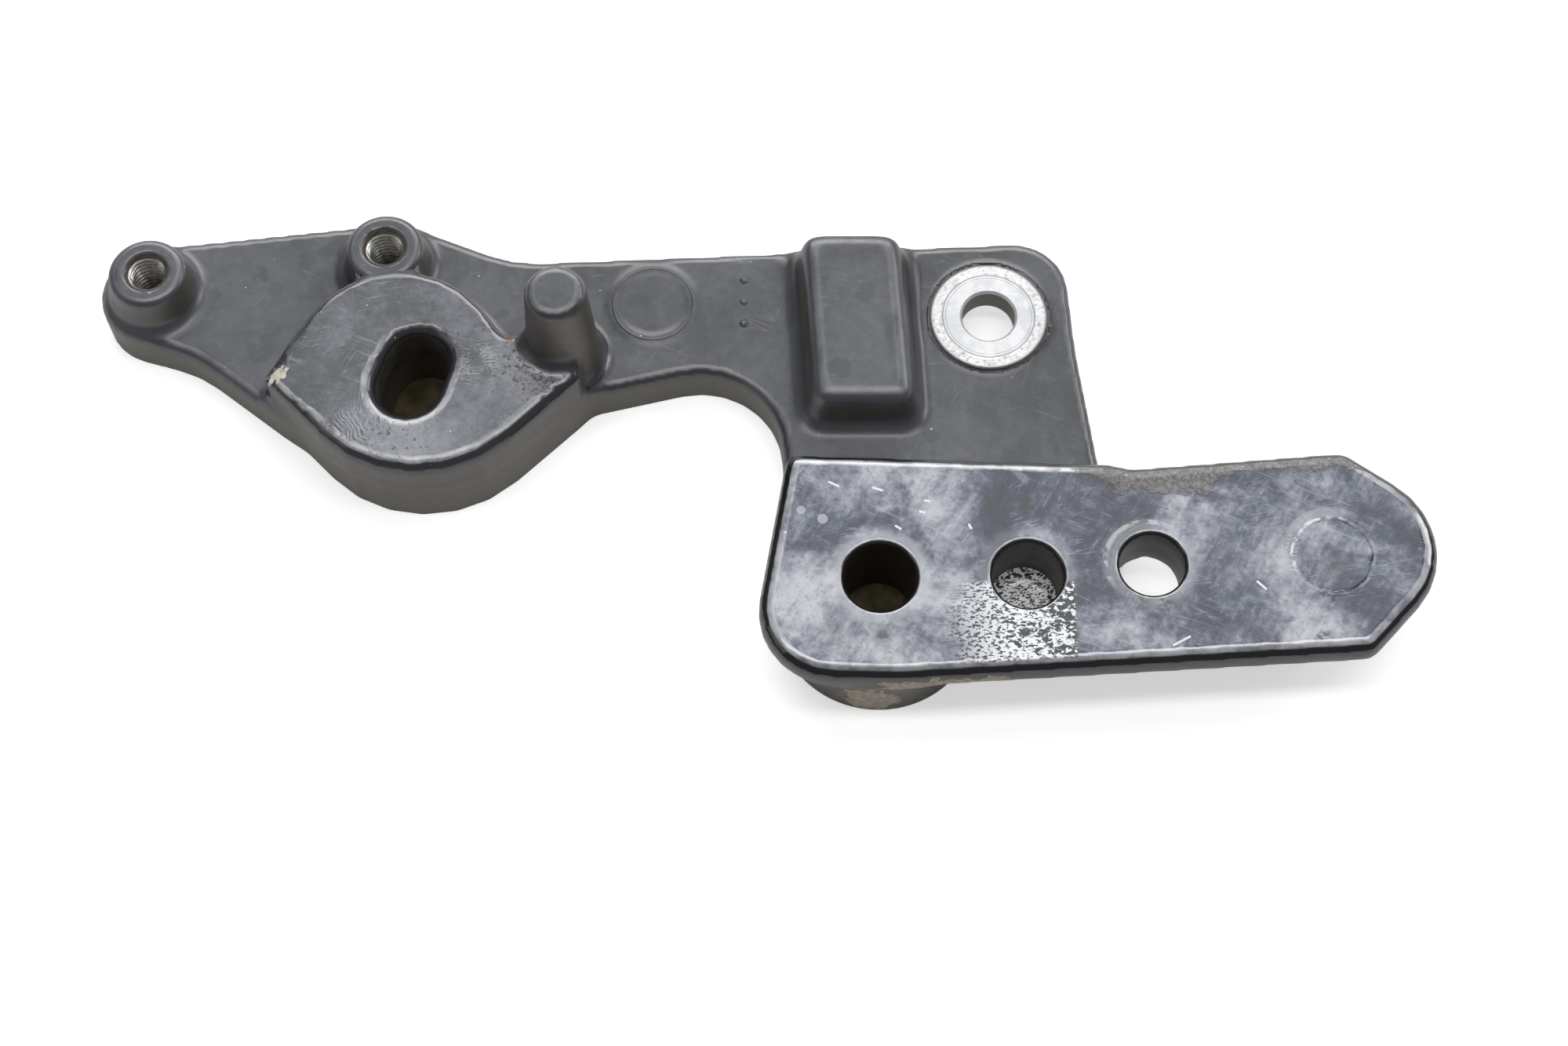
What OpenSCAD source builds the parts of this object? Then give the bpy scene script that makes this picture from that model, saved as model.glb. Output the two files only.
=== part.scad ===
// Forward control mounting bracket: one die casting that lies on its machined back.
// The origin is on the axis of bar hole 1, in the plane of the back faces.
// X runs along the bar, Y across it and Z towards the front face.

/* [Levels] */
// Height of the plate's front face above the back
plate_h = 10; // [8:0.5:14]
// Height of the cam pad's front face above the back
pad_h = 21; // [17:0.5:26]
// Height of the bar's front face above the back
bar_h = 20; // [17:0.5:26]
// Height of the two threaded bosses above the back
boss_h = 19; // [15:0.5:24]
// Height of the hump above the back
hump_h = 19; // [15:0.5:22]
// Height of the post above the back
post_h = 39; // [28:1:48]

/* [Walls] */
// Thickness of the bar's flange
bar_t = 7; // [4:0.5:9]
// Thickness of the ear behind the machined ring
ear_t = 4.8; // [4:0.2:7]
// Wall left round the hollow back of the hump
hump_wall = 4; // [3:0.5:5]
// Rounding of the pad's and the bar's front edges
edge_r = 1.8; // [1:0.1:2.4]

/* [Bar] */
// Distance from bar hole 1 to bar hole 2 along X
hole_2_x = 28.5; // [25:0.5:34]
// Height of bar hole 2 above hole 1 along Y
hole_2_y = 0.5; // [-2:0.5:3]
// Distance from bar hole 1 to bar hole 3 along X
hole_3_x = 52.6; // [48:0.2:62]
// Height of bar hole 3 above hole 1 along Y
hole_3_y = 2.6; // [-2:0.2:5]
// Radius of bar hole 1, which goes right through
hole_1_r = 7; // [5:0.25:8.5]
// Radius of bar hole 2, which is blind
hole_2_r = 6.8; // [5:0.2:8.4]
// Radius of bar hole 3, which goes right through
hole_3_r = 6.3; // [5:0.1:8]
// Depth of the blind bar hole 2
hole_2_depth = 14; // [8:0.5:16]
// Depth of bar hole 3, and of the boss behind it
hole_3_depth = 13; // [8:0.5:18]
// Rounding of the mouths of the bar holes
mouth_r = 1; // [0.5:0.1:1.4]
// Radius of the mounting boss behind bar hole 1
foot_r = 20; // [14:0.5:20.5]
// Radius of the bar's lower edge round hole 1
bar_end_r = 21; // [20.6:0.2:24]
// Radius of the bar's lower left corner
bar_low_corner_r = 14.6; // [8:0.2:18]
// Distance from bar hole 1 to the centre of the nose
nose_x = 91.5; // [80:0.5:105]
// Radius of the nose
nose_r = 17; // [14:0.5:20]
// Height of the bar's upper edge above hole 1, at the left
bar_top_y = 25.4; // [24:0.2:29]
// Drop of the small step in the bar's upper edge
bar_step = 1.6; // [1:0.1:3]

/* [Ear] */
// Place of the machined ring along X
ring_x = 23.3; // [20:0.1:27]
// Place of the machined ring along Y
ring_y = 61.6; // [56:0.2:66]
// Outer radius of the machined ring
ring_r = 12; // [9:0.5:13]
// Height of the machined ring above the plate
ring_rise = 0.7; // [0.4:0.1:1.5]
// Radius of the bore through the machined ring
ring_bore_r = 5.4; // [4:0.1:6.5]
// Radius of the ear's outer corner
ear_corner_r = 11; // [8:0.5:14]
// Distance from the ring's axis to the ear's outer edge
ear_side = 16.7; // [14.5:0.1:20]
// Distance from the ring's axis to the ear's upper edge
ear_top = 17.9; // [14.5:0.1:20]
// Radius of the flare that widens the ear into the bar
flare_r = 75; // [60:5:140]

/* [Bosses and post] */
// Place of threaded boss 1 along X
boss_1_x = -147.7; // [-156:0.1:-140]
// Place of threaded boss 1 along Y
boss_1_y = 67.4; // [63:0.1:71]
// Place of threaded boss 2 along X
boss_2_x = -99.8; // [-105:0.1:-95]
// Place of threaded boss 2 along Y
boss_2_y = 73.1; // [70:0.1:78]
// Radius of the tapped holes before the thread is cut
tap_r = 3.4; // [2.5:0.1:4]
// Radius of the countersink at the mouths of the tapped holes
sink_r = 4.5; // [4.1:0.1:5.2]
// Radius of the bosses under their rounded shoulder
boss_r = 8; // [7:0.25:9]
// Radius of the plate's round ends behind the bosses
boss_end_r = 11.2; // [10.4:0.2:13]
// Place of the post along X
post_x = -63; // [-66:0.2:-60]
// Place of the post along Y
post_y = 52.2; // [50:0.2:55]
// Radius of the post's top
post_top_r = 6.1; // [4:0.1:7]
// Radius of the post just above its fillet
post_foot_r = 7.6; // [5:0.1:8.5]
// Fillet at the foot of the bosses
foot_fillet = 2.4; // [1:0.2:3.2]
// Fillet at the foot of the post
post_fillet = 1.6; // [1:0.2:2.4]

/* [Cam pad] */
// Centre of the pad's upper lobe along X
lobe_x = -96; // [-99:0.5:-93]
// Centre of the pad's upper lobe along Y
lobe_y = 46.3; // [44:0.1:49]
// Radius of the pad's upper lobe
lobe_r = 20.8; // [18:0.2:23]
// Radius of the pad's lower edge
belly_r = 26.5; // [24:0.5:29]
// Radius of the slot's ends
slot_r = 6.4; // [4:0.2:8]
// Distance between the centres of the slot's ends
slot_length = 5.8; // [3:0.2:9]
// Lean of the slot from the Y axis
slot_lean = 16; // [0:1:30]

/* [Notch] */
// Centre of the rounded notch along X
notch_x = -35.5; // [-38:0.5:-33.5]
// Centre of the rounded notch along Y
notch_y = 32.2; // [30:0.2:35]
// Radius of the rounded notch
notch_r = 16.8; // [12:0.2:18]

/* [Cast marks] */
// Outer radius of the raised plain ring
mark_r = 8.6; // [6:0.2:9]
// Width of the raised plain ring
mark_w = 0.9; // [0.6:0.1:1.5]
// Height of the cast marks above the plate
mark_rise = 0.5; // [0.3:0.1:1]
// Number of round pips in the column
pips = 3; // [2:1:4]

/* [Hidden] */
$fn = 40;
// Degrees between two points of an outline's arc, and of an edge's rounding
arc_step = 15;
round_steps = 2;
// Depth by which a solid runs into the one that carries it
bite = 1;
sink = 3.5;
// Depth by which a cutter runs past the face that it opens
past = 1;
back_trim = 3;

boss_1 = [boss_1_x, boss_1_y];
boss_2 = [boss_2_x, boss_2_y];
ring = [ring_x, ring_y];
post = [post_x, post_y];
hole_1 = [0, 0];
hole_2 = [hole_2_x, hole_2_y];
hole_3 = [hole_3_x, hole_3_y];
lobe = [lobe_x, lobe_y];
notch = [notch_x, notch_y];

// Cam pad: the belly is centred off the lobe, and the slot lies near the lobe's centre
belly = lobe + [5, 2.2];
slot_low = lobe + [2.8, -5.2];
slot_high = slot_low + slot_length * [sin(slot_lean), cos(slot_lean)];
left_tip = [lobe_x - lobe_r - 2.6, lobe_y - 3.2];
right_tip = [post_x + 1.6, post_y - 8.6];
pad_corner = right_tip + [4.4, 0.2];
right_lobe = right_tip + [-5.6, 2.6];
tip_r = 2.4;
tip_lobe = left_tip + [3.6, 2.5];
tip_lobe_r = 8;
right_lobe_r = 6;
hollow_r = 6;

// Ear and plate
ear_corner = ring + [ear_side - ear_corner_r, ear_top - ear_corner_r];
flare = [ear_corner[0] + ear_corner_r + flare_r + 0.6, ear_corner[1] - 6];
bar_root_low = 10;
root_r = 3.5;
bar_root_right = ear_corner[0] + ear_corner_r + 5;
notch_right = notch_x + notch_r;
shoulder_r = 25;
shoulder = [notch_x - 34.5, ring_y + 13.5 + shoulder_r];
waist_r = 25;
waist = boss_1 + (boss_end_r + waist_r + 0.8) * [cos(266), sin(266)];

// Bar
bar_left = notch_right + 0.3;
bar_low_corner = [bar_low_corner_r - bar_end_r - 2.4, bar_low_corner_r - bar_end_r + 0.3];
bar_step_x = hole_3_x - 7;
nose = [nose_x, 6.5];
bar_corner_r = 3;
rib_w = 6;
rib_deep = 5;
bar_top_right = [nose_x - 0.8, bar_top_y + 1.8 - bar_corner_r];

// Hump
hump_left = notch_right + 2.4;
hump_width = 23;
hump_low = bar_top_y + 11.6;
hump_top = ring_y + ear_top - 2.2;
hump_slope = 1.2;
hump_crown = 1.8;
hump_shoulder = 2.4;
hump_round = 3;
hump_lean = 2.2;

// Back: the trim block covers the whole casting, and the ear's recess runs past its corner
block = [boss_1_x - 40, -bar_end_r - 20];
block_size = [nose_x + nose_r + 20 - block[0], boss_2_y + boss_end_r + 20 - block[1]];
recess = [hump_left + 1.8, bar_top_y - 2];
recess_size = ear_corner + [ear_corner_r + 40, ear_corner_r + 10] - recess;

// One list entry is [x, y, r]: a belt runs round these circles, anticlockwise, and r is
// negative where the outline is hollow there. Each straight stretch is the tangent of two
// neighbours, so that an inset of the whole outline is only a smaller r everywhere.
function before(list, i) = list[(i + len(list) - 1) % len(list)];
function after(list, i) = list[(i + 1) % len(list)];
function leave(a, b) =
    atan2(b[1] - a[1], b[0] - a[0]) - acos((a[2] - b[2]) / norm([b[0] - a[0], b[1] - a[1]]));
function turn(from, to, sign) =
    sign > 0 ? (to - from) % 360 + ((to - from) % 360 < 0 ? 360 : 0)
             : (to - from) % 360 - ((to - from) % 360 > 0 ? 360 : 0);
function arc_points(c, start, sweep, inset) =
    let (n = max(1, ceil(abs(sweep) / arc_step)))
    [for (k = [0:n])
        let (a = start + sweep * k / n)
        [c[0], c[1]] + (c[2] - inset) * [cos(a), sin(a)]];
function belt(rounds, inset = 0) =
    [for (i = [0:len(rounds) - 1])
        let (start = leave(before(rounds, i), rounds[i]),
             sweep = turn(start, leave(rounds[i], after(rounds, i)), rounds[i][2]))
        each arc_points(rounds[i], start, sweep, inset)];
function round_at(p, r) = [p[0], p[1], r];

// Outline of the plate, from the bar's root up the ear, round both bosses and back
function plate_rounds() = [
    [bar_root_right - 2, bar_root_low + 4, root_r],
    round_at(flare, -flare_r),
    round_at(ear_corner, ear_corner_r),
    round_at(shoulder, -shoulder_r),
    round_at(boss_2, boss_end_r),
    round_at(boss_1, boss_end_r),
    round_at(waist, -waist_r),
    round_at(tip_lobe, tip_lobe_r),
    round_at(belly, belly_r - 2),
    round_at(pad_corner, -0.5),
    round_at(notch, -notch_r),
    [notch_right + 3.3, bar_top_y + 1.6, 3.2],
    [notch_right + 14, bar_root_low + 4, root_r],
];

// Outline of the cam pad
function pad_rounds() = [
    round_at(right_tip, tip_r),
    round_at(right_lobe, right_lobe_r),
    round_at(right_lobe + [-4.4, 12.2], -hollow_r),
    round_at(lobe, lobe_r),
    round_at(left_tip, tip_r),
    round_at(belly, belly_r),
];

// Outline of the bar
function bar_rounds() = [
    round_at(nose, nose_r),
    round_at(bar_top_right, bar_corner_r),
    [bar_step_x + 4.4, bar_top_y - bar_step + bar_corner_r, -bar_corner_r],
    [bar_step_x - 0.6, bar_top_y - 0.6 - bar_corner_r, bar_corner_r],
    [bar_left + bar_corner_r, bar_top_y - 2 + 0.4, bar_corner_r],
    round_at(bar_low_corner, bar_low_corner_r),
    [3, 0, bar_end_r],
    [nose_x + 1, nose[1] - nose_r - 1, 4],
];

// Outline of the web that joins the bar's flange to the plate
function root_rounds() = [
    [bar_root_right + 3, bar_root_low + 2, 2],
    [bar_root_right + 3, bar_top_y - 5.4, 2],
    [bar_left + 1.8, bar_top_y - 4, 1],
    [bar_left + 1.8, bar_root_low + 2, 1],
];

// A solid between the outlines at the given levels, each [height, inset]
module loft(rounds, levels) {
    rings = [for (l = levels) [for (p = belt(rounds, l[1])) [p[0], p[1], l[0]]]];
    count = len(rings[0]);
    tiers = len(rings);
    sides = [for (t = [0:tiers - 2]) for (i = [0:count - 1])
        [t * count + i, (t + 1) * count + i,
         (t + 1) * count + (i + 1) % count, t * count + (i + 1) % count]];
    bottom = [[for (i = [0:count - 1]) i]];
    top = [[for (i = [count - 1:-1:0]) (tiers - 1) * count + i]];
    polyhedron([for (r = rings) each r], concat(bottom, sides, top), convexity = 6);
}

// A slab with upright walls from z0 to z1 and a front edge of the given rounding
module slab(rounds, z0, z1, edge) {
    loft(rounds, concat([[z0, 0]],
        [for (k = [0:round_steps])
            let (a = 90 * k / round_steps)
            [z1 - edge * (1 - sin(a)), edge * (1 - cos(a))]]));
}

// A turned boss: a fillet at its foot, a slightly tapered side and a rounded shoulder
module turned_boss(centre, foot, top, foot_r, top_r, shoulder, fillet) {
    fillet_arc = [for (a = [240:-30:180])
        [foot_r + fillet + fillet * cos(a), foot + fillet + fillet * sin(a)]];
    shoulder_arc = [for (a = [0:30:90])
        [top_r - shoulder + shoulder * cos(a), top - shoulder + shoulder * sin(a)]];
    translate(centre)
        rotate_extrude()
            polygon(concat([[0, foot - sink], [foot_r + fillet, foot - sink],
                [foot_r + fillet, foot - 0.1]], fillet_arc, shoulder_arc, [[0, top]]));
}

// A round cutter from z0 to z1 whose mouth at z1 is rounded outwards
module bore(centre, r, z0, z1, mouth) {
    lip = [for (a = [180:-30:90]) [r + mouth + mouth * cos(a), z1 - mouth + mouth * sin(a)]];
    translate(centre) {
        translate([0, 0, z0])
            cylinder(r = r, h = z1 - z0 + past);
        rotate_extrude()
            polygon(concat([[0, z1 - mouth - 0.2], [r - 0.01, z1 - mouth - 0.2]], lip,
                [[r + mouth, z1 + past], [0, z1 + past]]));
    }
}

module plate() {
    translate([0, 0, -back_trim])
        linear_extrude(plate_h + back_trim)
            polygon(belt(plate_rounds()));
}

// Recess in the back that leaves the ear thin
module ear_recess() {
    translate([recess[0], recess[1], -back_trim - past])
        cube([recess_size[0], recess_size[1], back_trim + past + plate_h - ear_t]);
}

// Cam pad, as deep as the whole casting
module cam_pad() {
    slab(pad_rounds(), -back_trim - 1, pad_h, edge_r);
}

// Slot through the cam pad, with a rounded mouth
module slot_cut() {
    loft([round_at(slot_low, slot_r), round_at(slot_high, slot_r)], concat(
        [[-back_trim - 2 * past, 0]],
        [for (a = [0:30:90]) [pad_h - mouth_r * (1 - sin(a)), -mouth_r * (1 - cos(a))]],
        [[pad_h + past, -mouth_r - past]]));
}

// Bar: a flange with a web to the plate, bosses behind its holes and a stiffening rib
module bar() {
    slab(bar_rounds(), bar_h - bar_t, bar_h, edge_r);
    translate([0, 0, -back_trim - bite])
        linear_extrude(bar_h - bar_t + back_trim + 2 * bite)
            polygon(belt(root_rounds()));
    translate([0, 0, -back_trim])
        cylinder(r = foot_r, h = bar_h - bar_t + bite + back_trim);
    translate([hole_2[0], hole_2[1], bar_h - hole_2_depth - 4])
        cylinder(r = hole_2_r + 4.5, h = hole_2_depth + 4 - bar_t + bite);
    translate([hole_3[0], hole_3[1], bar_h - hole_3_depth])
        cylinder(r = hole_3_r + 4.5, h = hole_3_depth - bar_t + bite);
    translate([0, 0, bar_h - bar_t - rib_deep])
        linear_extrude(rib_deep + bite)
            polygon([[foot_r - 4, -rib_w / 2], [hole_3_x, hole_3_y - rib_w / 2],
                [nose_x + 8, nose[1] - rib_w / 2], [nose_x + 8, nose[1] + rib_w / 2],
                [hole_3_x, hole_3_y + rib_w / 2], [foot_r - 4, rib_w / 2]]);
}

module bar_cuts() {
    bore(hole_1, hole_1_r, -back_trim - past, bar_h, mouth_r);
    bore(hole_2, hole_2_r, bar_h - hole_2_depth, bar_h, mouth_r);
    bore(hole_3, hole_3_r, 0, bar_h, mouth_r);
}

// Hump beside the ear, with steep sides and a rounded crown, which stops before the bar
module hump() {
    hull() {
        translate([0, 0, plate_h - sink])
            linear_extrude(sink)
                polygon(belt(hump_rounds(0)));
        for (a = [0:30:90])
            translate([0, 0, hump_h - hump_shoulder * (1 - sin(a)) - 0.2])
                linear_extrude(0.2)
                    polygon(belt(hump_rounds(hump_slope), hump_crown * (1 - cos(a))));
    }
}

// Outline of the hump, drawn in by the slope of its sides
function hump_rounds(side) =
    let (left = hump_left + side + hump_round, right = hump_left + hump_width - side - hump_round)
    [[right + hump_lean, hump_low + side + hump_round, hump_round],
     [right, hump_top - hump_round, hump_round],
     [left, hump_top - hump_round, hump_round],
     [left + hump_lean, hump_low + side + hump_round, hump_round]];

// Hollow in the back of the hump, which keeps its wall even
module hump_hollow() {
    inner = hump_slope + hump_crown + hump_wall;
    translate([hump_left + inner + hump_lean / 2, hump_low + inner, -past])
        cube([hump_width - 2 * inner, hump_top - hump_low - 2 * inner, hump_h - hump_wall + past]);
}

module boss_pair() {
    for (place = [boss_1, boss_2])
        turned_boss(place, plate_h, boss_h, boss_r + 0.5, boss_r, 2, foot_fillet);
}

module tapped_holes() {
    for (place = [boss_1, boss_2])
        translate(place) {
            translate([0, 0, -back_trim - past])
                cylinder(r = tap_r, h = boss_h + back_trim + 2 * past);
            translate([0, 0, boss_h - (sink_r - tap_r)])
                cylinder(r1 = tap_r, r2 = sink_r + past, h = sink_r - tap_r + past);
        }
}

module machined_ring() {
    translate([ring_x, ring_y, plate_h - ear_t + 0.4])
        cylinder(r = ring_r, h = ear_t - 0.4 + ring_rise);
}

// Plain raised ring and a column of pips, cast on the plate between the post and the hump
module cast_marks() {
    centre = [notch_x - 9.8, ring_y + 3.1, plate_h - bite];
    translate(centre)
        difference() {
            cylinder(r = mark_r, h = bite + mark_rise);
            translate([0, 0, -past])
                cylinder(r = mark_r - mark_w, h = bite + mark_rise + 2 * past);
        }
    for (k = [0:pips - 1])
        translate(centre + [18.6, 5.5 - k * 5, 0])
            cylinder(r = 1.1, h = bite + mark_rise, $fn = 32);
}

module bracket() {
    color([0.11, 0.115, 0.125])
        difference() {
            union() {
                plate();
                cam_pad();
                bar();
                hump();
                boss_pair();
                turned_boss(post, plate_h, post_h, post_foot_r, post_top_r, 1, post_fillet);
                machined_ring();
                cast_marks();
            }
            bar_cuts();
            slot_cut();
            tapped_holes();
            bore(ring, ring_bore_r, 0, plate_h + ring_rise, 0.5);
            ear_recess();
            hump_hollow();
            translate([block[0], block[1], -2 * back_trim])
                cube([block_size[0], block_size[1], 2 * back_trim]);
        }
}

bracket();
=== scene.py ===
"""Looks of the forward control mounting bracket: a worn die casting in black paint.

All lengths in this file are millimetres, unless a name ends in _m or _M. The frame is in
metres.
"""

import math

import bmesh
import bpy
import numpy as np
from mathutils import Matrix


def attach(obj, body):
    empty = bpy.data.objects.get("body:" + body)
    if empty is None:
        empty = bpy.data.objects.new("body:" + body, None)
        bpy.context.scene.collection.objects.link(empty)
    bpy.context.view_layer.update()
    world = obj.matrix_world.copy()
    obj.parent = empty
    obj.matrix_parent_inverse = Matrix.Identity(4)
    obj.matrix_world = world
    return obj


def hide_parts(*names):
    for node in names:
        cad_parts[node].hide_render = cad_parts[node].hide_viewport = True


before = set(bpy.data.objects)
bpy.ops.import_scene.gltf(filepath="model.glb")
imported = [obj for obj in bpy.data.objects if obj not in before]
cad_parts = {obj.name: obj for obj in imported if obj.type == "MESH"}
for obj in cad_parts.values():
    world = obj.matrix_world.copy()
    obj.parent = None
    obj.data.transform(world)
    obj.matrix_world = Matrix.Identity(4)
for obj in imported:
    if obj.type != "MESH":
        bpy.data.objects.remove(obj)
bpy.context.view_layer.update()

import openvdb as vdb
from mathutils import Vector

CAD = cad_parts["bracket"]

# Levels of the casting's faces above its back
BACK, PLATE, BOSS, BAR, PAD, POST = 0.0, 10.0, 19.0, 20.0, 21.0, 39.0
FLAT_LEVELS = (BACK, PLATE, BOSS, BAR, PAD, POST)

# Places of the round features: x, y and, for some, the radius
HOLES = ((0.0, 0.0, 7.0), (28.5, 0.5, 6.8), (52.6, 2.6, 6.3))
RING = (23.3, 61.6, 12.0)
RING_BORE, RING_FACE, RING_BACK = 5.4, 10.7, 5.2
BOSSES = ((-147.7, 67.4), (-99.8, 73.1))
POST_PLACE = (-63.0, 52.2)
WITNESS = (87.7, 4.4, 8.0)
MARK_CENTRE, MARK_RADIUS, MARK_RISE = (-45.3, 64.7), 8.2, 0.55
PIPS, PIP_RADIUS, PIP_RISE = ((-26.7, 70.2), (-26.7, 65.2), (-26.7, 60.2)), 1.6, 0.65
SLOT = (-92.3, 43.0)
# Radii at a tapped boss: its bore, mouth, flat ring, rounded shoulder and foot
BOSS_BORE, BOSS_MOUTH, BOSS_FLAT, BOSS_ROUND, BOSS_FOOT = 4.2, 4.7, 6.0, 2.0, 9.6
POST_FOOT = 8.6
# How far a raised mark's foot goes into the plate, and how little the edge of its top does
MARK_FOOT, MARK_SUNK = 0.6, 0.02
# Knocks in the casting: place, direction of the cut and reach
KNOCKS = (
    ((-119.3, 43.0, 20.2), (-0.55, 0.25, 0.8), 5.0),
    ((2.0, -20.7, 19.2), (0.0, -0.6, 0.8), 5.0),
    ((13.0, -21.4, 19.3), (0.1, -0.6, 0.8), 4.0))

# How far the casting is carried on below its back before its edges are rounded
BELOW = 4.0
# Size of a level-set cell, and the radii of the casting's inner and outer edges
CELL = 0.5
FILLET, EDGE = 2.5, 1.8
# Rounder edges of the bar's face, and of the cam pad's lower rim round a place on it
BAR_EDGE, PAD_EDGE = 2.7, 2.8
PAD_LOW, PAD_LOW_REACH = (-88.0, 25.0), (33, 23)
# Blends at the bar's left and upper end, and at the hump's left, right and lower side: from
# where each is nothing to where it is whole
BAR_LEFT, BAR_TOP = (-32, -24), (38, 31)
HUMP_LEFT, HUMP_RIGHT, HUMP_LOW = (-30, -24), (10.2, 7.5), (34, 39)
MOST_TRIANGLES = 185000


def node_arrays(node):
    """Points in millimetres and triangles of a CAD node's mesh."""
    mesh = node.data
    mesh.calc_loop_triangles()
    points = np.empty(len(mesh.vertices) * 3, np.float32)
    mesh.vertices.foreach_get("co", points)
    triangles = np.empty(len(mesh.loop_triangles) * 3, np.int32)
    mesh.loop_triangles.foreach_get("vertices", triangles)
    return points.reshape(-1, 3) * 1000, triangles.reshape(-1, 3).astype(np.uint32)


def smooth(value, start, end):
    """Smooth step from 0 to 1 as value goes from start to end."""
    way = np.clip((value - start) / (end - start), 0, 1)
    return way * way * (3 - 2 * way)


def edge_radius(x, y, z):
    """Radius of the outer edges: EDGE, but more round the bar's face and along the lower rim
    of the cam pad."""
    on_bar = smooth(x, *BAR_LEFT) * smooth(y, *BAR_TOP) * (BAR_EDGE - EDGE)
    from_low = np.hypot(x - PAD_LOW[0], y - PAD_LOW[1])
    on_pad = smooth(from_low, *PAD_LOW_REACH) * (PAD_EDGE - EDGE)
    return EDGE + smooth(z, 9, 14) * np.maximum(on_bar, on_pad)


def moved(points, triangles, quads, shift):
    """The surface moved outwards by shift, a function of x, y and z, as points, triangles
    and quads. Signed distances to the surface are worked out in every cell near it, shift
    is taken off them, and the new surface is where they are nothing."""
    band = (FILLET + PAD_EDGE) / CELL + 2.5
    faces = {"triangles": triangles} if len(triangles) else {}
    if len(quads):
        faces["quads"] = quads
    grid = vdb.FloatGrid.createLevelSetFromPolygons(
        points, transform=vdb.createLinearTransform(CELL), halfWidth=band, **faces)
    low = np.floor(points.min(axis=0) / CELL - band).astype(int)
    high = np.ceil(points.max(axis=0) / CELL + band).astype(int)
    values = np.empty(high - low, np.float32)
    grid.copyToArray(values, ijk=tuple(low.tolist()))
    x, y, z = np.ogrid[tuple(slice(a, b) for a, b in zip(low, high))]
    values -= shift(x * CELL, y * CELL, z * CELL)
    shifted = vdb.FloatGrid(band * CELL)
    shifted.transform = vdb.createLinearTransform(CELL)
    shifted.copyFromArray(values, ijk=tuple(low.tolist()))
    return shifted.convertToPolygons(isovalue=0.0, adaptivity=0.0)


def rounded_casting():
    """The casting with blended edges, as points and a list of quads.

    The surface is moved out by FILLET, in by FILLET and the edge radius, and out by the
    edge radius. A ball of radius FILLET then rolls along every inner edge, and one of the
    edge radius fits every outer edge, as on a casting. Flat faces come back to where they
    were. The back is carried on below the part first, so that its edges stay sharp once it
    is cut off there.
    """
    points, triangles = node_arrays(CAD)
    points[points[:, 2] < BACK + 0.01, 2] = BACK - BELOW
    quads = np.zeros((0, 4), np.uint32)
    for shift in (lambda *at: FILLET, lambda *at: -FILLET - edge_radius(*at), edge_radius):
        points, triangles, quads = moved(points, triangles, quads, shift)
    points, quads = points.astype(np.float64), quads.astype(np.int64)[:, ::-1]
    soften_hump(points, quads)
    return points, quads.tolist()


def soften_hump(points, quads, rounds=36):
    """The hump's outer edges are melted round: in each of the rounds a point moves to the
    mean of its neighbours, by a weight that is 1 on the hump and falls to 0 beside it."""
    x, y, z = points.T
    weight = smooth(x, *HUMP_LEFT) * smooth(x, *HUMP_RIGHT) * smooth(y, *HUMP_LOW)
    weight *= z > PLATE - 0.1
    start = quads.ravel()
    end = np.roll(quads, -1, axis=1).ravel()
    chosen = weight[start] > 0
    start, end = start[chosen], end[chosen]
    count = np.maximum(np.bincount(start, minlength=len(points)), 1)
    for _ in range(rounds):
        mean = np.stack([np.bincount(start, points[end, axis], len(points)) / count
                         for axis in range(3)], axis=1)
        points += weight[:, None] * (mean - points)


def settle(points, tolerance=0.03):
    """Points within tolerance of a flat level are put exactly on it."""
    for level in FLAT_LEVELS:
        near = np.abs(points[:, 2] - level) < tolerance
        points[near, 2] = level


def from_axis(points, place):
    """Distance of each point from an upright axis, and the unit direction away from it."""
    away = points[:, :2] - np.array(place[:2])
    distance = np.hypot(away[:, 0], away[:, 1])
    return distance, away / np.maximum(distance, 1e-6)[:, None]


def widen(points, place, radius, low, high):
    """Points nearer to an upright axis than radius, between two levels, move out to it."""
    distance, away = from_axis(points, place)
    chosen = (distance < radius) & (points[:, 2] > low) & (points[:, 2] < high)
    points[chosen, :2] = np.array(place[:2]) + away[chosen] * radius


def turn_boss_top(points, place):
    """Boss top: a flat ring at BOSS from BOSS_MOUTH to BOSS_FLAT, inside it a 45 degree cone,
    and outside it a quarter circle of radius BOSS_ROUND."""
    distance, _ = from_axis(points, place)
    past = np.clip(distance - BOSS_FLAT, 0, BOSS_ROUND)
    shoulder = BOSS - BOSS_ROUND + np.sqrt(np.clip(BOSS_ROUND ** 2 - past ** 2, 0, None))
    cone = BOSS - np.clip(BOSS_MOUTH - distance, 0, None)
    target = np.minimum(shoulder, cone)
    near = (distance < BOSS_FLAT + BOSS_ROUND - 0.1) & (np.abs(points[:, 2] - target) < 1.2)
    chosen = near & (points[:, 2] > BOSS - 2.4)
    points[chosen, 2] = target[chosen]


def turn_mouth(points, place, mouth=1.15):
    """Mouth of a bar hole: a quarter circle of radius mouth from its wall to the face."""
    distance, _ = from_axis(points, place)
    reach = BAR_EDGE + 0.5
    short = np.clip(place[2] + mouth - distance, 0, mouth)
    target = BAR - mouth + np.sqrt(mouth ** 2 - short ** 2)
    near = (distance < place[2] + reach) & (distance > place[2] + 0.02)
    chosen = near & (points[:, 2] > BAR - reach)
    points[chosen, 2] = target[chosen]


def ripple(points, lengths, phases):
    """Sum of three crossed sine waves, between -1 and 1."""
    waves = [np.sin(points @ np.array(direction) * (2 * math.pi / length) + phase)
             for direction, length, phase in zip(
                 ((0.8, 0.6, 0.3), (-0.5, 0.85, 0.4), (0.2, -0.4, 0.9)), lengths, phases)]
    return sum(waves) / 3


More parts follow.
